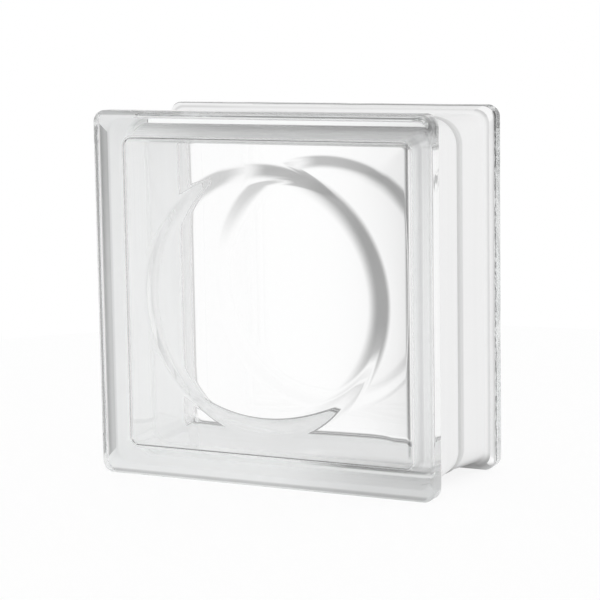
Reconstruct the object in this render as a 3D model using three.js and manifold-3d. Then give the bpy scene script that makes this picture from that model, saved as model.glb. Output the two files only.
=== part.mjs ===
// Hollow glass block: two pressed glass dishes fused rim to rim at mid-depth.
// The block stands on its lower flange edges, centred on the origin, +Z up and front face towards -Y.
// Each half is drawn by its depth, which is measured inwards from that half's outer face to the seam.

import * as THREE from 'three';
import { mergeVertices } from 'three/addons/utils/BufferGeometryUtils.js';
import Module from 'manifold-3d';

// Driving dimensions, in millimetres.
const faceSize = 190;          // width and height of the block
const blockDepth = 90;         // outer face to outer face
const paneThickness = 9.5;     // pressed face, outside the lens ring
const flangeThickness = 9.6;   // edge of a face, where it stands out past the web
const channelDepth = 4.5;      // web below the flange edge: the mortar channel
const channelSlope = 3.6;      // depth over which a flange's back slopes down to the web
const faceEdgeRadius = 2;      // rounding of the outer face's edge
const flangeBackRadius = 1.2;  // rounding of the flange's back edge
const channelFillet = 2.6;     // fillet at the root of the channel
const flangeCornerRadius = 6.5; // block's corners, seen from the front
const webRootCornerRadius = 7.5; // web's corners at the root of the channel
const webSeamCornerRadius = 14.5; // web's corners at the seam
const beadWidth = 5;           // fused seam bead, both halves together
const beadHeight = 0.8;        // bead above the web
const webThickness = 8.6;      // side wall where it leaves the pane
const cavityDraft = 5.4;       // how much the hollow widens on each side, pane to seam
const cavityFillet = 4;        // hollow's edge between pane and web
const cavityCornerRadius = 5.6; // hollow's corners at the pane
const seamCornerRadius = 10;   // hollow's corners at the seam
const lensOuterDiameter = 138; // ring that thins the pane towards its middle
const lensInnerDiameter = 123.6;
const lensDepth = 2.7;         // pane's loss of thickness inside the ring
const lensLipRun = 1.6;        // how far each way the ring's outer edge is rounded
const lensFootRun = 3.4;       // the same for its inner edge, which is softer

// How finely the curves are cut.
const cornerSteps = 10;
const archSteps = 4;
const ringSteps = 96;

const halfDepth = blockDepth / 2;
const faceHalf = faceSize / 2;
const webHalf = faceHalf - channelDepth;
const channelRootDepth = flangeThickness + channelSlope;
const cavityHalf = webHalf - webThickness;
const cutOverrun = 1;          // cutters pass this far through what they open

const glass = new THREE.MeshStandardMaterial({
  color: 0xf1f5f4,
  roughness: 0.04,
  metalness: 0,
});

const wasm = await Module();
wasm.setup();

// One section of a loft: a rounded square of the given half width and corner radius.
function roundedSquare(half, radius, depth) {
  const inner = half - radius;
  const centres = [[inner, inner], [-inner, inner], [-inner, -inner], [inner, -inner]];
  return centres.flatMap(([x, z], corner) =>
    Array.from({ length: cornerSteps + 1 }, (_, step) => {
      const angle = (corner + step / cornerSteps) * Math.PI / 2;
      return [x + radius * Math.cos(angle), depth, z + radius * Math.sin(angle)];
    }));
}

// A closed solid through rounded squares, listed from the shallowest to the deepest.
function loft(sections) {
  const rings = sections.map(({ half, radius, depth }) => roundedSquare(half, radius, depth));
  const count = rings[0].length;
  const positions = rings.flat(2);
  const indices = [];
  for (let ring = 0; ring + 1 < rings.length; ring++) {
    for (let i = 0; i < count; i++) {
      const a = ring * count + i;
      const b = ring * count + (i + 1) % count;
      indices.push(a, b + count, b, a, a + count, b + count);
    }
  }
  const centre = rings.length * count;
  positions.push(0, sections[0].depth, 0, 0, sections.at(-1).depth, 0);
  const last = (rings.length - 1) * count;
  for (let i = 0; i < count; i++) {
    const next = (i + 1) % count;
    indices.push(centre, i, next, centre + 1, last + next, last + i);
  }
  const geometry = new THREE.BufferGeometry();
  geometry.setAttribute('position', new THREE.Float32BufferAttribute(positions, 3));
  geometry.setIndex(indices);
  return geometry;
}

// A quarter circle as [along, across] pairs, from [0, radius] to [radius, 0].
function quarter(radius) {
  return Array.from({ length: archSteps + 1 }, (_, step) => {
    const angle = step / archSteps * Math.PI / 2;
    return [radius * Math.sin(angle), radius * Math.cos(angle)];
  });
}

function solid(geometry) {
  geometry.deleteAttribute('normal');
  geometry.deleteAttribute('uv');
  const merged = mergeVertices(geometry, 1e-5);
  return new wasm.Manifold(new wasm.Mesh({
    numProp: 3,
    vertProperties: new Float32Array(merged.attributes.position.array),
    triVerts: new Uint32Array(merged.index.array),
  }));
}

function geometryOf(manifold) {
  const mesh = manifold.getMesh();
  const geometry = new THREE.BufferGeometry();
  geometry.setAttribute('position', new THREE.Float32BufferAttribute(mesh.vertProperties, 3));
  geometry.setIndex(new THREE.Uint32BufferAttribute(mesh.triVerts, 1));
  geometry.computeVertexNormals();
  return geometry;
}

// The web's corners open out from the channel's root to the seam, as a dish does for its mould.
function webCorner(depth) {
  const share = THREE.MathUtils.inverseLerp(channelRootDepth, halfDepth, depth);
  return THREE.MathUtils.lerp(webRootCornerRadius, webSeamCornerRadius, THREE.MathUtils.clamp(share, 0, 1));
}

// On the channel's side the corner radius runs from the flange's to the web's as the side falls away.
function channelCorner(depth, inset) {
  const share = THREE.MathUtils.clamp(inset / channelDepth, 0, 1);
  return THREE.MathUtils.lerp(flangeCornerRadius, webCorner(depth), share);
}

// Side of the channel from the flange's edge to the web, as a path of (depth, inset).
function channelSide() {
  const edge = new THREE.Vector2(flangeThickness, 0);
  const root = new THREE.Vector2(channelRootDepth, channelDepth);
  const slope = root.clone().sub(edge).normalize();
  const path = new THREE.Path();
  path.moveTo(edge.x - flangeBackRadius, 0);
  path.quadraticCurveTo(edge.x, 0, edge.x + slope.x * flangeBackRadius, slope.y * flangeBackRadius);
  path.lineTo(root.x - slope.x * channelFillet, root.y - slope.y * channelFillet);
  path.quadraticCurveTo(root.x, root.y, root.x + channelFillet, root.y);
  return path.getPoints(archSteps);
}

// Outside of a half: flat face, rounded flange, channel, web and its share of the seam bead.
function outerSections() {
  const faceEdge = quarter(faceEdgeRadius).map(([rise, back]) => ({
    half: faceHalf - faceEdgeRadius + rise,
    radius: flangeCornerRadius - faceEdgeRadius + rise,
    depth: faceEdgeRadius - back,
  }));
  const channel = channelSide().map(({ x, y }) => ({
    half: faceHalf - y,
    radius: channelCorner(x, y),
    depth: x,
  }));
  const bead = quarter(1).map(([along, across]) => {
    const depth = halfDepth - beadWidth / 2 * across;
    const rise = beadHeight * along;
    return { half: webHalf + rise, radius: webCorner(depth) + rise, depth };
  });
  return [...faceEdge, ...channel, ...bead];
}

// Hollow of a half: pane, filleted edge, and web walls that open out towards the seam.
function cavitySections() {
  const fillet = quarter(cavityFillet).map(([rise, back]) => ({
    half: cavityHalf - cavityFillet + rise,
    radius: cavityCornerRadius - cavityFillet + rise,
    depth: paneThickness + cavityFillet - back,
  }));
  const wallTop = fillet.at(-1).depth;
  const run = halfDepth - wallTop;
  const wall = [0.5, 1, 1 + cutOverrun / run].map(share => ({
    half: cavityHalf + cavityDraft * share,
    radius: THREE.MathUtils.lerp(cavityCornerRadius, seamCornerRadius, share),
    depth: wallTop + run * share,
  }));
  return [...fillet, ...wall];
}

// Shallow round recess that thins the middle of the pane inside the lens ring.
function lensRecess() {
  const floor = paneThickness - lensDepth;
  const foot = new THREE.Vector2(lensInnerDiameter / 2, floor);
  const lip = new THREE.Vector2(lensOuterDiameter / 2, paneThickness);
  const slope = lip.clone().sub(foot).normalize();
  const profile = new THREE.Path();
  profile.moveTo(0, floor);
  profile.lineTo(foot.x - lensFootRun, floor);
  profile.quadraticCurveTo(foot.x, foot.y, foot.x + slope.x * lensFootRun, foot.y + slope.y * lensFootRun);
  profile.lineTo(lip.x - slope.x * lensLipRun, lip.y - slope.y * lensLipRun);
  profile.quadraticCurveTo(lip.x, lip.y, lip.x + lensLipRun, lip.y);
  profile.lineTo(lip.x + lensLipRun, paneThickness + cutOverrun);
  profile.lineTo(0, paneThickness + cutOverrun);
  return new THREE.LatheGeometry(profile.getPoints(archSteps), ringSteps);
}

function pressedHalf() {
  const body = solid(loft(outerSections()));
  const hollow = solid(loft(cavitySections()));
  const lens = solid(lensRecess());
  return geometryOf(body.subtract(hollow.add(lens)));
}

const halfGeometry = pressedHalf();

// A half stands with its outer face away from the block's middle; the rear one is turned about Z.
function addHalf(name, turn) {
  const half = new THREE.Mesh(halfGeometry, glass.clone());
  half.name = name;
  half.position.set(0, -halfDepth, faceHalf);
  const turned = new THREE.Group();
  turned.rotation.z = turn;
  turned.add(half);
  return turned;
}

const glassBlock = new THREE.Group();
glassBlock.name = 'glass_block';
glassBlock.add(addHalf('front_half', 0), addHalf('rear_half', Math.PI));

export default glassBlock;
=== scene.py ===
import math

import bpy
import numpy as np
from mathutils import Matrix, Vector


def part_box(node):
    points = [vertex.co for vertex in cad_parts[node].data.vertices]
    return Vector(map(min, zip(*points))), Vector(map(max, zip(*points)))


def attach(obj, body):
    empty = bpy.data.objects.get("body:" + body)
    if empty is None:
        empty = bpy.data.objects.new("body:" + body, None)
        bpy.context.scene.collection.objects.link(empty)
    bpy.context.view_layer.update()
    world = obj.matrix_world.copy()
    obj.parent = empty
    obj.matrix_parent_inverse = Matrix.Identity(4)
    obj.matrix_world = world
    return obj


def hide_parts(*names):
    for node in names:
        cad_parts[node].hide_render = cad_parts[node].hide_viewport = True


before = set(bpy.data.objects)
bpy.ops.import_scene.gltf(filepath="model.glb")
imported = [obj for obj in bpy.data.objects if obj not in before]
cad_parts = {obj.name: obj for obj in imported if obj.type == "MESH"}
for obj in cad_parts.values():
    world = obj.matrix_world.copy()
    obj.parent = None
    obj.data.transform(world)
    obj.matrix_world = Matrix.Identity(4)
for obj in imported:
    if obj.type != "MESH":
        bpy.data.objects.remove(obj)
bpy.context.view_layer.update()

mm = 0.001
print("stage 1: frame loaded,", len(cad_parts), "CAD nodes")


# A long lens in front of the block and to its right, a little above its top.
cameraPlan = dict(
    place=(0.5142, -1.0102, 0.2527),
    turn=26.95,          # degrees to the left of +Y
    dip=8.17,            # degrees below level
    roll=-0.94,
    focalPixels=2205.0,  # for a frame 600 px wide
    frameWidth=600.0,
    sensor=36.0,
    clip=(0.05, 50.0),
)


def addCamera(plan):
    # The aim is +Y turned to the left and dipped, and the frame's side and up are rolled about it.
    data = bpy.data.cameras.new("stillCamera")
    data.sensor_width = plan["sensor"]
    data.lens = plan["focalPixels"] * plan["sensor"] / plan["frameWidth"]
    data.clip_start, data.clip_end = plan["clip"]
    camera = bpy.data.objects.new("stillCamera", data)
    bpy.context.scene.collection.objects.link(camera)
    turn, dip, roll = (math.radians(plan[key]) for key in ("turn", "dip", "roll"))
    aim = Vector((-math.sin(turn) * math.cos(dip), math.cos(turn) * math.cos(dip), -math.sin(dip)))
    side = Vector((math.cos(turn), math.sin(turn), 0.0))
    up = side.cross(aim)
    tiltedSide = side * math.cos(roll) + up * math.sin(roll)
    tiltedUp = up * math.cos(roll) - side * math.sin(roll)
    axes = Matrix((tiltedSide, tiltedUp, -aim)).transposed()
    camera.matrix_world = Matrix.Translation(plan["place"]) @ axes.to_4x4()
    bpy.context.scene.camera = camera
    return camera


camera = addCamera(cameraPlan)
bpy.context.scene.view_settings.view_transform = "Standard"
bounces = bpy.context.scene.cycles      # light crosses many walls of glass here
bounces.max_bounces = 40
bounces.transmission_bounces = 40
bounces.glossy_bounces = 40
bounces.diffuse_bounces = 16
bounces.blur_glossy = 0.0
print("stage 2: camera set, lens", round(camera.data.lens, 1), "mm")


# The glass block is an outer skin and a hollow, and each is a profile carried round a rounded square.
# Its own size is read from the front half's CAD node.
lowCorner, highCorner = (np.array(corner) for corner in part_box("front_half"))
blockSize = dict(
    faceHalf=(highCorner[0] - lowCorner[0]) / 2,
    halfDepth=highCorner[1] - lowCorner[1],
    middleHeight=(highCorner[2] + lowCorner[2]) / 2,
)

blockShape = dict(
    paneThickness=9.5 * mm,
    flangeThickness=9.6 * mm,
    channelDepth=4.5 * mm,
    channelSlope=3.6 * mm,          # depth over which a flange's back slopes down to the web
    faceEdgeRadius=2.0 * mm,
    flangeBackRadius=0.8 * mm,
    channelFillet=1.0 * mm,
    flangeCornerRadius=6.5 * mm,
    webRootCornerRadius=7.5 * mm,   # at the channel's root
    webSeamCornerRadius=14.5 * mm,  # at the seam
    beadWidth=5.0 * mm,
    beadHeight=0.8 * mm,
    webThickness=8.6 * mm,
    cavityDraft=5.4 * mm,           # how much the hollow widens on each side, pane to seam
    frontFillet=4.0 * mm,           # hollow's edge between pane and web, in each half
    rearFillet=2.0 * mm,
    cavityCornerRadius=5.6 * mm,
    seamCornerRadius=10.0 * mm,
    lensOuterRadius=69.0 * mm,
    lensInnerRadius=61.8 * mm,
    lensDepth=2.7 * mm,
    lensLipRun=1.6 * mm,
    lensFootRun=3.4 * mm,
)

meshSteps = dict(
    corner=20,             # round each corner of the square
    side=56,               # along each of its sides
    arc=10,                # over each small curve of a profile
    slope=6,               # down a flange's back
    web=7,                 # along the web, up to the strip beside the bead
    strip=8,               # across that strip
    stripWidth=1.5 * mm,
    wall=45,               # along the hollow's wall
    faceRings=(0.2, 0.4, 0.6, 0.8, 0.95, 0.995),  # as shares of the flat face
    discRings=(0.25, 0.5, 0.75, 0.9),             # as shares of the pane's thin middle
    cornerTurn=0.25,       # how much a corner adds to the bearings
)


def perimeter(steps):
    # Once round a square: a point runs along the corner centres (-1 to 1 on each axis) while it
    # is on a side and stands still at a corner, where its outward direction turns through 90 degrees.
    corners = np.array([[1, 1], [-1, 1], [-1, -1], [1, -1]], float)
    spots, outs = [], []
    for k in range(4):
        turn = (k + np.arange(steps["corner"] + 1) / steps["corner"]) * np.pi / 2
        spots.append(np.repeat(corners[k][None], len(turn), 0))
        outs.append(np.stack([np.cos(turn), np.sin(turn)], 1))
        share = (np.arange(1, steps["side"]) / steps["side"])[:, None]
        spots.append(corners[k] * (1 - share) + corners[(k + 1) % 4] * share)
        outs.append(np.repeat(outs[-1][-1][None], len(share), 0))
    return np.concatenate(spots), np.concatenate(outs)


ringSpots, ringOuts = perimeter(meshSteps)
aheadX, aheadZ = (ringSpots + meshSteps["cornerTurn"] * ringOuts).T
ringBearings = np.arctan2(aheadZ, aheadX)


def carryRound(profile):
    # point = (half - radius) * spot + radius * out, at the profile's depth. Where circle is 1 it is
    # half * (cos, sin) of its bearing instead, which makes the same ring a circle.
    half, radius, depth, circle = (profile[:, i][:, None] for i in range(4))
    square = [(half - radius) * ringSpots[:, i] + radius * ringOuts[:, i] for i in (0, 1)]
    disc = [half * np.cos(ringBearings), half * np.sin(ringBearings)]
    x, z = (square[i] * (1 - circle) + disc[i] * circle for i in (0, 1))
    return np.stack([x, np.broadcast_to(depth, x.shape), z], 2)


def arcPoints(start, corner, end, steps):
    # Quadratic curve from start to end that leaves and arrives along the lines through corner:
    # start * (1 - t)^2 + 2 * corner * t * (1 - t) + end * t^2.
    t = np.linspace(0, 1, steps["arc"] + 1)[:, None]
    start, corner, end = (np.array(p, float) for p in (start, corner, end))
    return start * (1 - t) ** 2 + 2 * corner * t * (1 - t) + end * t ** 2


def quarterRows(half, corner, depth, r, steps):
    # Rows over a quarter circle that ends at half: half and corner radius grow by r * sin(angle), and
    # depth by r * (1 - cos(angle)).
    angle = np.linspace(0, np.pi / 2, steps["arc"] + 1)
    out = r * np.sin(angle)
    return np.stack([half - r + out, corner - r + out, depth + r - r * np.cos(angle), 0 * angle], 1)


def outerProfile(size, shape, steps):
    # Rows of (half, radius, depth, circle) from the middle of a face to the seam: the flat face, its
    # rounded edge, and a path of (depth, inset) down the flange's back, over the channel's root and the
    # web, and up a quarter ellipse onto the bead. There half = face half - inset, and the corner radius
    # goes from the flange's to the web's as inset / channelDepth goes from 0 to 1.
    faceHalf, r = size["faceHalf"], shape["faceEdgeRadius"]
    flangeCorner = shape["flangeCornerRadius"]
    share = np.array(steps["faceRings"])
    flat = np.stack([(faceHalf - r) * share, (flangeCorner - r) * share, 0 * share, 0 * share], 1)
    edge = quarterRows(faceHalf, flangeCorner, 0.0, r, steps)

    top = np.array([shape["flangeThickness"], 0.0])
    root = top + np.array([shape["channelSlope"], shape["channelDepth"]])
    slope = (root - top) / np.linalg.norm(root - top)
    level = np.array([1.0, 0.0])
    backRun, footRun = shape["flangeBackRadius"], shape["channelFillet"]
    back = arcPoints(top - level * backRun, top, top + slope * backRun, steps)
    foot = arcPoints(root - slope * footRun, root, root + level * footRun, steps)
    share = np.linspace(0, 1, steps["slope"] + 1)[1:-1, None]
    flank = back[-1] * (1 - share) + foot[0] * share

    beadStart = size["halfDepth"] - shape["beadWidth"] / 2
    stripStart = beadStart - steps["stripWidth"]
    web = np.concatenate([
        np.linspace(foot[-1, 0], stripStart, steps["web"] + 1)[1:-1],
        np.linspace(stripStart, beadStart, steps["strip"] + 1)[:-1],
    ])
    web = np.stack([web, np.full(len(web), shape["channelDepth"])], 1)
    turn = np.linspace(0, np.pi / 2, steps["arc"] + 1)
    bead = np.stack([
        beadStart + shape["beadWidth"] / 2 * (1 - np.cos(turn)),
        shape["channelDepth"] - shape["beadHeight"] * np.sin(turn),
    ], 1)

    depth, inset = np.vstack([back, flank, foot, web, bead]).T
    opened = np.clip((depth - root[0]) / (size["halfDepth"] - root[0]), 0, 1)
    webCorner = shape["webRootCornerRadius"] * (1 - opened) + shape["webSeamCornerRadius"] * opened
    rise = np.where(depth > beadStart, shape["channelDepth"] - inset, 0)
    blend = np.clip((inset + rise) / shape["channelDepth"], 0, 1)
    radius = flangeCorner * (1 - blend) + webCorner * blend + rise
    side = np.stack([faceHalf - inset, radius, depth, 0 * radius], 1)
    return np.vstack([flat, edge, side])


def hollowProfile(size, shape, fillet, steps):
    # Rows of (half, radius, depth, circle) from the middle of a pane to the seam. The lens ring is a
    # straight slope with a quadratic curve at its lip and a longer one at its foot. Past the fillet the
    # wall's half width and corner radius grow evenly with its depth.
    foot = np.array([shape["lensInnerRadius"], shape["paneThickness"] - shape["lensDepth"]])
    lip = np.array([shape["lensOuterRadius"], shape["paneThickness"]])
    slope = (lip - foot) / np.linalg.norm(lip - foot)
    level = np.array([1.0, 0.0])
    footRun, lipRun = shape["lensFootRun"], shape["lensLipRun"]
    low = arcPoints(foot - level * footRun, foot, foot + slope * footRun, steps)
    high = arcPoints(lip - slope * lipRun, lip, lip + level * lipRun, steps)
    flat = low[0] * [[share, 1] for share in steps["discRings"]]
    radius, depth = np.vstack([flat, low, high]).T
    disc = np.stack([radius, 0 * radius, depth, 0 * radius + 1], 1)

    cavityHalf = size["faceHalf"] - shape["channelDepth"] - shape["webThickness"]
    edge = quarterRows(cavityHalf, shape["cavityCornerRadius"], shape["paneThickness"], fillet, steps)
    share = np.linspace(0, 1, steps["wall"] + 1)[1:]
    wallTop = shape["paneThickness"] + fillet
    wall = np.stack([
        cavityHalf + shape["cavityDraft"] * share,
        shape["cavityCornerRadius"] * (1 - share) + shape["seamCornerRadius"] * share,
        wallTop + (size["halfDepth"] - wallTop) * share,
        0 * share,
    ], 1)
    return np.vstack([disc, edge, wall])


def bothHalves(frontRings, rearRings, halfDepth):
    # The front half's rings at y = depth - halfDepth, then the rear half's mirrored in the seam plane,
    # at y = halfDepth - depth, without the seam ring twice.
    front = frontRings - [0, halfDepth, 0]
    rear = rearRings[-2::-1] * [1, -1, 1] + [0, halfDepth, 0]
    return np.concatenate([front, rear])


def skinFaces(ringCount, around, first, outward):
    # Quads between neighbouring rings and a fan of triangles at each end, closed round the loop.
    i = np.arange(around)
    j = (i + 1) % around
    rows = (np.arange(ringCount - 1) * around)[:, None] + first
    quads = np.stack([rows + i, rows + around + i, rows + around + j, rows + j], 2).reshape(-1, 4)
    startPole = first + ringCount * around
    last = first + (ringCount - 1) * around
    startFan = np.stack([np.full(around, startPole), first + i, first + j], 1)
    endFan = np.stack([np.full(around, startPole + 1), last + j, last + i], 1)
    if not outward:
        quads, startFan, endFan = quads[:, ::-1], startFan[:, ::-1], endFan[:, ::-1]
    return quads.tolist() + startFan.tolist() + endFan.tolist()


def skinPoints(rings, middleHeight):
    # Every ring's points, then a pole in the middle of each face, all raised by the block's middle height.
    poles = np.array([[0, rings[0, 0, 1], 0], [0, rings[-1, 0, 1], 0]])
    points = np.vstack([rings.reshape(-1, 3), poles])
    points[:, 2] += middleHeight
    return points


glassRelief = dict(
    frontEdge=dict(depth=0.10 * mm, phase=0.4, waves=(3, 7, 13)),      # how the pressed edges wander
    rearEdge=dict(depth=0.22 * mm, phase=2.1, waves=(5, 11, 19, 31)),  # inwards, in waves all the way round
    edgeStart=1.5 * mm,      # the stretch of the flange's edge that wanders
    edgeGap=0.5 * mm,        # what it leaves bare before the flange's back
    edgeSoft=1.5 * mm,
    ripple=0.035 * mm,       # flow lines on the hollow's walls
    flowWaves=(1.25, 0.71, 2.3),                         # radians per mm of depth
    flowDrift=dict(depth=1.2, phase=0.9, waves=(2, 5)),  # mm to and fro, round the block
    wallSoft=2.0 * mm,
    ridge=0.45 * mm,         # squeezed-out glass inside the seam
    ridgeWidth=1.1 * mm,
    crease=0.8 * mm,         # groove at each foot of the seam bead
    creaseWidth=0.5 * mm,
    sineShift=1.7,           # radians from one sine of a wander to the next
)


def wander(path, shift):
    # depth * a value between 0 and 1 along the perimeter: the mean of sines of its bearing, each with
    # whole waves all the way round, so that it meets itself.
    sines = [
        np.sin(count * ringBearings + path["phase"] + shift * i)
        for i, count in enumerate(path["waves"])
    ]
    return path["depth"] * (0.5 + 0.5 * np.mean(sines, 0))


def window(value, low, high, soft):
    # 1 between low and high, falling to 0 over soft on both sides by the cubic 3t^2 - 2t^3.
    t = np.clip(np.minimum(value - low, high - value) / soft + 1, 0, 1)
    return t * t * (3 - 2 * t)


def edgeWander(rings, size, shape, relief):
    # inset = window over the flange's edge * wander(perimeter), which is its own for each half.
    along = rings[:, :, 1]
    depth = size["halfDepth"] - np.abs(along)
    edgeEnd = shape["flangeThickness"] - relief["edgeGap"]
    onEdge = window(depth, relief["edgeStart"], edgeEnd, relief["edgeSoft"])
    front, rear = (wander(relief[half], relief["sineShift"]) for half in ("frontEdge", "rearEdge"))
    return onEdge * np.where(along < 0, front, rear)


def seamCrease(rings, shape, relief):
    # inset = crease * exp(-((|y| - half the bead) / creaseWidth)^2): a groove along both feet of the bead.
    away = np.abs(rings[:, :, 1]) - shape["beadWidth"] / 2
    return relief["crease"] * np.exp(-(away / relief["creaseWidth"]) ** 2)


def wallRelief(rings, size, shape, relief):
    # inset = window over the wall * (ripple * mean of sines of the depth + ridge * exp(-(y / width)^2)).
    along = rings[:, :, 1]
    depth = size["halfDepth"] - np.abs(along)
    wallStart = shape["paneThickness"] + shape["frontFillet"] + relief["wallSoft"]
    onWall = window(depth, wallStart, np.inf, relief["wallSoft"])
    flow = along / mm + wander(relief["flowDrift"], relief["sineShift"])
    lines = np.mean([np.sin(flow * wave + i) for i, wave in enumerate(relief["flowWaves"])], 0)
    ridge = relief["ridge"] * np.exp(-(along / relief["ridgeWidth"]) ** 2)
    return onWall * (relief["ripple"] * lines + ridge)


def pushIn(rings, inset):
    # Moves every point against its ring's outward direction by its own inset.
    rings[:, :, 0] -= inset * ringOuts[:, 0]
    rings[:, :, 2] -= inset * ringOuts[:, 1]
    return rings


def makeGlassBlock(size, shape, relief, steps):
    # One mesh: the outer skin, whose faces come first and are counted, and the hollow, turned inwards.
    outer = carryRound(outerProfile(size, shape, steps))
    outer = bothHalves(outer, outer, size["halfDepth"])
    outer = pushIn(outer, edgeWander(outer, size, shape, relief) + seamCrease(outer, shape, relief))
    fillets = (shape["frontFillet"], shape["rearFillet"])
    frontHollow, rearHollow = (carryRound(hollowProfile(size, shape, fillet, steps)) for fillet in fillets)
    hollow = bothHalves(frontHollow, rearHollow, size["halfDepth"])
    hollow = pushIn(hollow, wallRelief(hollow, size, shape, relief))
    outerPoints = skinPoints(outer, size["middleHeight"])
    hollowPoints = skinPoints(hollow, size["middleHeight"])
    outerFaces = skinFaces(len(outer), len(ringSpots), 0, True)
    hollowFaces = skinFaces(len(hollow), len(ringSpots), len(outerPoints), False)
    mesh = bpy.data.meshes.new("glassShell")
    mesh.from_pydata(np.vstack([outerPoints, hollowPoints]).tolist(), [], outerFaces + hollowFaces)
    mesh.shade_smooth()
    mesh.update()
    block = bpy.data.objects.new("glassShell", mesh)
    bpy.context.scene.collection.objects.link(block)
    return block, len(outerFaces)


glassShell, outerFaceCount = makeGlassBlock(blockSize, blockShape, glassRelief, meshSteps)
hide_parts("front_half", "rear_half")
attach(glassShell, "root")
print("stage 3: glass shell,", len(glassShell.data.polygons), "faces")


def newMaterial(name):
    material = bpy.data.materials.new(name)
    material.use_nodes = True
    material.node_tree.nodes.clear()
    return material, material.node_tree


def feed(tree, node, inputs):
    # Gives a node its inputs, each a plain value or another node's output.
    for key, value in inputs.items():
        if isinstance(value, bpy.types.NodeSocket):
            tree.links.new(value, node.inputs[key])
        else:
            node.inputs[key].default_value = value
    return node


def addNode(tree, kind, inputs):
    return feed(tree, tree.nodes.new(kind), inputs)


def calculate(tree, operation, *values):
    # One Math node over plain numbers or other nodes' outputs.
    node = tree.nodes.new("ShaderNodeMath")
    node.operation = operation
    return feed(tree, node, dict(enumerate(values))).outputs[0]


def product(tree, first, *others):
    for other in others:
        first = calculate(tree, "MULTIPLY", first, other)
    return first


def mixShaders(tree, share, first, second):
    return addNode(tree, "ShaderNodeMixShader", {0: share, 1: first.outputs[0], 2: second.outputs[0]})


def smoothWindow(tree, value, low, high, soft):
    # 1 between the ends, falling smoothly to 0 over the soft edge that straddles each of them.
    away = calculate(tree, "ABSOLUTE", calculate(tree, "SUBTRACT", value, (low + high) / 2))
    half = (high - low) / 2
    ramp = tree.nodes.new("ShaderNodeMapRange")
    ramp.interpolation_type = "SMOOTHSTEP"
    ends = {"From Min": half - soft / 2, "From Max": half + soft / 2, "To Min": 1.0, "To Max": 0.0}
    return feed(tree, ramp, dict(ends, Value=away)).outputs["Result"]


def readAxes(tree, kind):
    place = tree.nodes.new("ShaderNodeTexCoord").outputs[kind]
    return place, addNode(tree, "ShaderNodeSeparateXYZ", {0: place}).outputs


def noiseOver(tree, place, waves):
    # Noise between 0 and 1 with its own number of waves per metre along each axis.
    stretched = addNode(tree, "ShaderNodeMapping", {"Vector": place, "Scale": waves})
    return addNode(tree, "ShaderNodeTexNoise", {"Vector": stretched.outputs[0], "Scale": 1.0}).outputs["Fac"]


def placeWindows(tree, axes, place):
    # A window for each axis that place names, as (from, to, softness) in mm.
    return [
        smoothWindow(tree, axes[axis.upper()], *(length * mm for length in place[axis]))
        for axis in "xyz" if axis in place
    ]


patchEnds = dict(high=2.0, soft=0.15)   # the noise never reaches the high end


def shadedTone(tree, axes, base, shades, patches=None):
    # base * product of (1 - depth * window(x) * window(y) * window(z)), and for a patchy shade also
    # times a window that opens where the noise passes its value.
    tone = base
    for shade in shades.values():
        windows = placeWindows(tree, axes, shade)
        if "patchy" in shade:
            windows.append(smoothWindow(tree, patches, shade["patchy"], **patchEnds))
        amount = product(tree, shade["depth"], *windows)
        tone = product(tree, tone, calculate(tree, "SUBTRACT", 1.0, amount))
    return tone


# The edge shades are painted shade and painted reflection: dark lines and spots that the edges refract and
# reflect, set in the glass colour.
glassFinish = dict(
    ior=1.52,
    absorbed=(0.8, 0.84, 0.84, 1.0),  # grey-green over a long way through the glass
    density=2.1,
    frost=0.6,                        # roughness of the rear flange's left edge
    frostPlace=dict(x=(-97, -94, 0.8), y=(34.6, 44.4, 0.8)),
    grit=(700.0, 700.0, 700.0),       # sandy rear edge on the right, top and bottom, waves per metre
    gritPlace=dict(y=(36.0, 38.6, 1.6)),
    gritMargin=0.6 * mm,              # from the block's side inwards
    gritHeight=0.25 * mm,
    patches=(600.0, 600.0, 330.0),    # waves per metre, for the patchy shades
    edgePaintedShades=dict(                  # painted shade: grey on the pressed edges where they look dark
        corner=dict(x=(-99, -91.3, 4), y=(-46, -43.4, 0.8), z=(184.5, 192, 3), depth=0.58),
        topLeft=dict(x=(-91.3, -64, 4), y=(-46, -43.4, 0.8), z=(187.7, 192, 0.8), depth=0.55),
        topLine=dict(x=(-64, -42, 4), y=(-46, -43.4, 0.8), z=(187.4, 190.2, 0.8), depth=0.4),
        topEdge=dict(y=(-43.8, -35.5, 1.2), z=(189, 192, 0.8), depth=0.35),
        rightCorner=dict(x=(94, 97, 0.8), y=(-40.5, -38.5, 1.2), z=(178.5, 187, 3), depth=0.5),
        rightSpots=dict(x=(91.9, 97, 1), y=(-46, -39, 2), z=(180, 188.4, 1.6), depth=0.55, patchy=0.44),
        footLine=dict(x=(33, 92, 40), y=(-46, -44, 1), z=(14.1, 15.9, 0.8), depth=0.82),
        rightLine=dict(x=(81.6, 82.9, 0.8), y=(-46, -44, 1), z=(22, 176, 3), depth=0.5),
        rearTop=dict(y=(40, 43.6, 1.5), z=(189, 192, 0.8), depth=0.3),
        rearLeft=dict(x=(-125, -20, 60), y=(40, 43.6, 1.5), z=(189, 192, 0.8), depth=0.35),
        rearCorner=dict(x=(-97, -86, 3), y=(38, 43.6, 1.5), z=(184, 192, 2), depth=0.4),
        rearFoot=dict(y=(42.8, 46, 0.8), z=(-1, 3.6, 2.2), depth=0.58),
        rearRight=dict(x=(94, 97, 0.8), y=(35.6, 38.0, 1.2), depth=0.85, patchy=0.47),
        rearUpper=dict(x=(94, 97, 0.8), y=(35.6, 38.4, 1.2), z=(158, 188, 8), depth=0.6),
    ),
)


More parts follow.
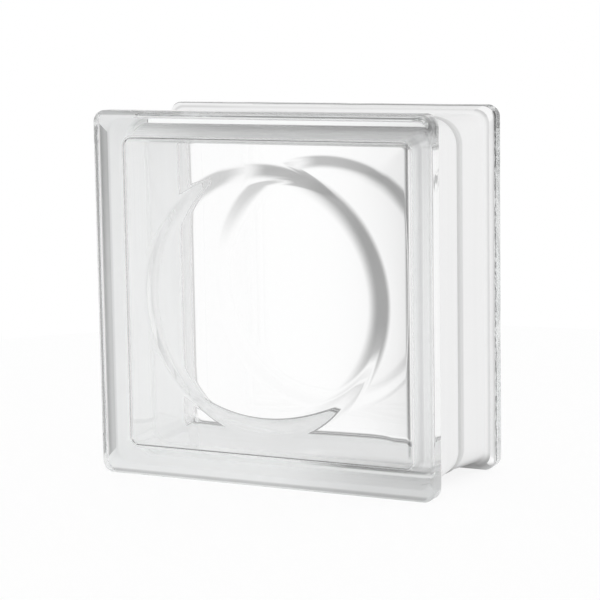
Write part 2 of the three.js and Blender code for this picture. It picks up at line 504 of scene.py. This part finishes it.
def makeClearGlass(finish, size):
    # Painted shade on the edges and frost by their windows. Grit = noise * window over y, where the larger
    # of x and |up| is less than gritMargin from the block's side.
    material, tree = newMaterial("clearGlass")
    place, axes = readAxes(tree, "Object")
    patches = noiseOver(tree, place, finish["patches"])
    paintedEdgeShade = shadedTone(tree, axes, 1.0, finish["edgePaintedShades"], patches)
    frost = product(tree, finish["frost"], *placeWindows(tree, axes, finish["frostPlace"]))

    up = calculate(tree, "ABSOLUTE", calculate(tree, "SUBTRACT", axes["Z"], size["middleHeight"]))
    across = calculate(tree, "MAXIMUM", axes["X"], up)
    outside = calculate(tree, "GREATER_THAN", across, size["faceHalf"] - finish["gritMargin"])
    onEdge = product(tree, outside, *placeWindows(tree, axes, finish["gritPlace"]))
    height = product(tree, onEdge, noiseOver(tree, place, finish["grit"]))
    bump = addNode(tree, "ShaderNodeBump", {"Distance": finish["gritHeight"], "Height": height})

    surface = addNode(tree, "ShaderNodeBsdfPrincipled", {
        "Transmission Weight": 1.0,
        "IOR": finish["ior"],
        "Base Color": paintedEdgeShade,
        "Roughness": frost,
        "Normal": bump.outputs[0],
    })
    inGlass = {"Color": finish["absorbed"], "Density": finish["density"]}
    absorption = addNode(tree, "ShaderNodeVolumeAbsorption", inGlass)
    shell = {"Surface": surface.outputs[0], "Volume": absorption.outputs[0]}
    addNode(tree, "ShaderNodeOutputMaterial", shell)
    return material


coatFinish = dict(
    outside=0.93,
    inside=1.0,
    roughness=0.55,
    streaks=(7.0, 260.0, 7.0),  # waves per metre: lines that run round the block
    streakDepth=0.05,
    # Painted shade on the outside: darker on the seam bead and in its creases, along the slope's root, and
    # near the floor at the foot.
    outsidePaintedShades=dict(
        seam=dict(y=(-2.8, 3.8, 2.4), depth=0.2),
        seamLine=dict(y=(-2.7, -1.3, 1.6), depth=0.1),
        rearRoot=dict(x=(85, 100, 1), y=(32.9, 33.9, 0.8), depth=0.18),
        topRoot=dict(y=(33.1, 33.9, 0.8), z=(184, 192, 1), depth=0.12),
        topRootLeft=dict(x=(-120, -55, 40), y=(33.1, 33.9, 0.8), z=(184, 192, 1), depth=0.12),
        foot=dict(y=(-3, 36, 3), z=(0, 7.5, 6), depth=0.42),
    ),
    # Painted shade where the coat is seen through the glass: darker at the left root, in a line on the
    # right, at the bottom right, along the foot and over the top.
    insidePaintedShades=dict(
        leftRoot=dict(x=(-100, -86, 1), y=(-60, -29.5, 5), z=(10, 180, 14), depth=0.2),
        rightLine=dict(x=(80, 100, 1), y=(-16, -12, 4), depth=0.17),
        bottomRight=dict(x=(30, 200, 80), y=(-60, 8, 10), z=(-10, 8, 1), depth=0.2),
        footEdge=dict(y=(-60, -33, 2), z=(-2, 1.3, 1.4), depth=0.35),
        top=dict(x=(-60, 200, 60), z=(180, 200, 1), depth=0.2),
        topSeam=dict(x=(-100, 200, 60), y=(-3, 30, 8), z=(180, 200, 1), depth=0.2),
        topRight=dict(x=(15, 200, 60), y=(4, 30, 8), z=(180, 200, 1), depth=0.3),
    ),
)

# Painted shade: a dark line on the left front slope, along the coat's edge, in place of the dark band the
# glass shows there by refraction.
paintedLineFinish = dict(
    coatFinish,
    inside=0.66,
    insidePaintedShades=dict(
        core=dict(y=(-35.6, -33.9, 2.2), depth=0.38),
        upper=dict(z=(130, 260, 80), depth=0.18),
    ),
)


def makeBondCoat(name, finish):
    # tone = (outside tone, or inside tone where it is seen through the glass) * (1 - streakDepth * noise);
    # the two tones carry painted shade.
    material, tree = newMaterial(name)
    place, axes = readAxes(tree, "Object")
    outside = shadedTone(tree, axes, finish["outside"], finish["outsidePaintedShades"])
    inside = shadedTone(tree, axes, finish["inside"], finish["insidePaintedShades"])
    throughGlass = tree.nodes.new("ShaderNodeNewGeometry").outputs["Backfacing"]
    change = calculate(tree, "SUBTRACT", inside, outside)
    tone = calculate(tree, "MULTIPLY_ADD", throughGlass, change, outside)
    streaks = product(tree, noiseOver(tree, place, finish["streaks"]), finish["streakDepth"])
    tone = product(tree, tone, calculate(tree, "SUBTRACT", 1.0, streaks))
    looks = {"Base Color": tone, "Roughness": finish["roughness"]}
    surface = addNode(tree, "ShaderNodeBsdfPrincipled", looks)
    addNode(tree, "ShaderNodeOutputMaterial", {"Surface": surface.outputs[0]})
    return material


glassShell.data.materials.append(makeClearGlass(glassFinish, blockSize))
glassShell.data.materials.append(makeBondCoat("bondCoat", coatFinish))
glassShell.data.materials.append(makeBondCoat("paintedShadeLine", paintedLineFinish))
clearSlot, coatSlot, paintedLineSlot = range(3)    # in the order above

coatEdge = dict(
    front=1.0,            # share of the flange's slope left bare
    rear=0.3,
    rearLean=0.22,        # more of it to the right, less to the left
    rearFoot=-2.1,        # under the rear flange the coat runs on to its rounded edge
    leftStart=86.5 * mm,  # past this far from the middle the front slope's left corners are coated too
    topStart=76.0 * mm,   # the same along the top, at its left end
    rightStart=92.0 * mm,
    cornerLean=0.7,       # how fast those starts move in down the slope
    line=(0.2, 1.0),      # shares of the left front slope under the painted shade line
)


def coatChannel(block, size, shape, edge, outerFaces):
    # The coat lies on every outer face whose middle is deeper than flange thickness + share * slope.
    # In front the share is fixed, but 0 underneath and in a corner, where the smaller of |x| and |up|
    # passes start + cornerLean * (the larger - face half). At the rear it is
    # rear + rearLean * (x / face half), but rearFoot underneath.
    mesh = block.data
    centres = np.empty(len(mesh.polygons) * 3)
    mesh.polygons.foreach_get("center", centres)
    across, along, height = centres.reshape(-1, 3).T
    up = height - size["middleHeight"]
    depth = size["halfDepth"] - np.abs(along)
    smaller, larger = np.sort([np.abs(across), np.abs(up)], 0)
    atFoot, onTop, onLeft = up == -larger, up == larger, across == -larger
    start = np.where(across > 0, edge["rightStart"], np.where(onTop, edge["topStart"], edge["leftStart"]))
    inCorner = smaller > start + edge["cornerLean"] * (larger - size["faceHalf"])
    front = np.where(inCorner | atFoot, 0.0, edge["front"])
    rear = np.where(atFoot, edge["rearFoot"], edge["rear"] + edge["rearLean"] * across / size["faceHalf"])
    share = np.where(along < 0, front, rear)
    coated = depth > shape["flangeThickness"] + share * shape["channelSlope"]
    climbed = (depth - shape["flangeThickness"]) / shape["channelSlope"]
    onLine = (climbed > edge["line"][0]) & (climbed < edge["line"][1])
    slots = np.where(coated, coatSlot, clearSlot)
    slots[onLine & (along < 0) & onLeft & ~inCorner] = paintedLineSlot
    slots[outerFaces:] = clearSlot
    mesh.polygons.foreach_set("material_index", slots.astype(np.int32))


coatChannel(glassShell, blockSize, blockShape, coatEdge, outerFaceCount)
print("stage 4: finishes")


floorPlan = dict(
    radius=0.5,
    sides=96,
    colour=(0.8, 0.8, 0.8, 1),
    roughness=0.9,
    glow=0.15,
    veil=0.82,    # how far the camera and the glass see plain white there
)


def addFloor(plan):
    # A round plate: rim point = radius * (cos(turn), sin(turn)), at height 0.
    mesh = bpy.data.meshes.new("floor")
    turn = np.linspace(0, 2 * np.pi, plan["sides"], endpoint=False)
    rim = np.stack([plan["radius"] * np.cos(turn), plan["radius"] * np.sin(turn), 0 * turn], 1)
    mesh.from_pydata(rim.tolist(), [], [list(range(len(rim)))])
    floor = bpy.data.objects.new("floor", mesh)
    bpy.context.scene.collection.objects.link(floor)
    material, tree = newMaterial("paleFloor")
    surface = addNode(tree, "ShaderNodeBsdfPrincipled", {
        "Base Color": plan["colour"],
        "Roughness": plan["roughness"],
        "Emission Color": (1, 1, 1, 1),
        "Emission Strength": plan["glow"],
    })
    path = tree.nodes.new("ShaderNodeLightPath").outputs
    seen = calculate(tree, "MAXIMUM", path["Is Camera Ray"], path["Is Transmission Ray"])
    white = tree.nodes.new("ShaderNodeEmission")
    blend = mixShaders(tree, product(tree, seen, plan["veil"]), surface, white)
    addNode(tree, "ShaderNodeOutputMaterial", {"Surface": blend.outputs[0]})
    mesh.materials.append(material)
    floor.visible_glossy = False
    floor.visible_transmission = False


# Zones seen in the glass: headings in degrees to the left of +Y and heights in degrees above level, each
# as (from, to, how many degrees its edges take to fade). A later zone lies over the earlier ones.
surroundPlan = dict(
    open=1.0,
    zones=dict(
        ceiling=dict(heading=(-181, 181, 1), height=(24, 150, 46), shade=0.05),
        ground=dict(heading=(-181, 181, 1), height=(-150, -32, 22), shade=0.28),
        rightWall=dict(heading=(-140, -40, 24), height=(6, 60, 20), shade=0.2),
        rightBack=dict(heading=(-44, -14, 12), height=(-16, 40, 16), shade=0.6),
        leftBack=dict(heading=(46, 125, 10), height=(-17, 40, 10), shade=0.62),
        upperLeft=dict(heading=(32, 56, 4), height=(-1, 60, 8), shade=0.62),
        upperFlag=dict(heading=(4, 28.6, 3), height=(3, 60, 7), shade=0.48),
        flag=dict(heading=(7, 21, 12), height=(-16, 60, 13), shade=0.28),
    ),
)


def addSurround(plan):
    # Glass sees a pale room with a few soft darker zones, and everything else sees plain white.
    # Each zone in turn makes shade + inside * (zone's shade - shade) of the shade before it.
    world = bpy.data.worlds.new("studio")
    bpy.context.scene.world = world
    world.use_nodes = True
    tree = world.node_tree
    tree.nodes.clear()
    axes = readAxes(tree, "Generated")[1]
    looking = dict(
        heading=calculate(tree, "ARCTAN2", product(tree, axes["X"], -1.0), axes["Y"]),
        height=calculate(tree, "ARCSINE", axes["Z"]),
    )
    shade = plan["open"]
    for zone in plan["zones"].values():
        inside = product(tree, *(
            smoothWindow(tree, angle, *(math.radians(end) for end in zone[key]))
            for key, angle in looking.items()
        ))
        change = calculate(tree, "SUBTRACT", zone["shade"], shade)
        shade = calculate(tree, "MULTIPLY_ADD", inside, change, shade)

    path = tree.nodes.new("ShaderNodeLightPath").outputs
    inGlass = calculate(tree, "MAXIMUM", path["Is Glossy Ray"], path["Is Transmission Ray"])
    beforeCoat = calculate(tree, "LESS_THAN", path["Diffuse Depth"], 0.5)    # no bounce off it yet
    white = addNode(tree, "ShaderNodeBackground", {"Color": (plan["open"], plan["open"], plan["open"], 1)})
    room = addNode(tree, "ShaderNodeBackground", {"Color": shade})
    blend = mixShaders(tree, product(tree, inGlass, beforeCoat), white, room)
    addNode(tree, "ShaderNodeOutputWorld", {"Surface": blend.outputs[0]})


addFloor(floorPlan)
addSurround(surroundPlan)
print("stage 5: floor and light")
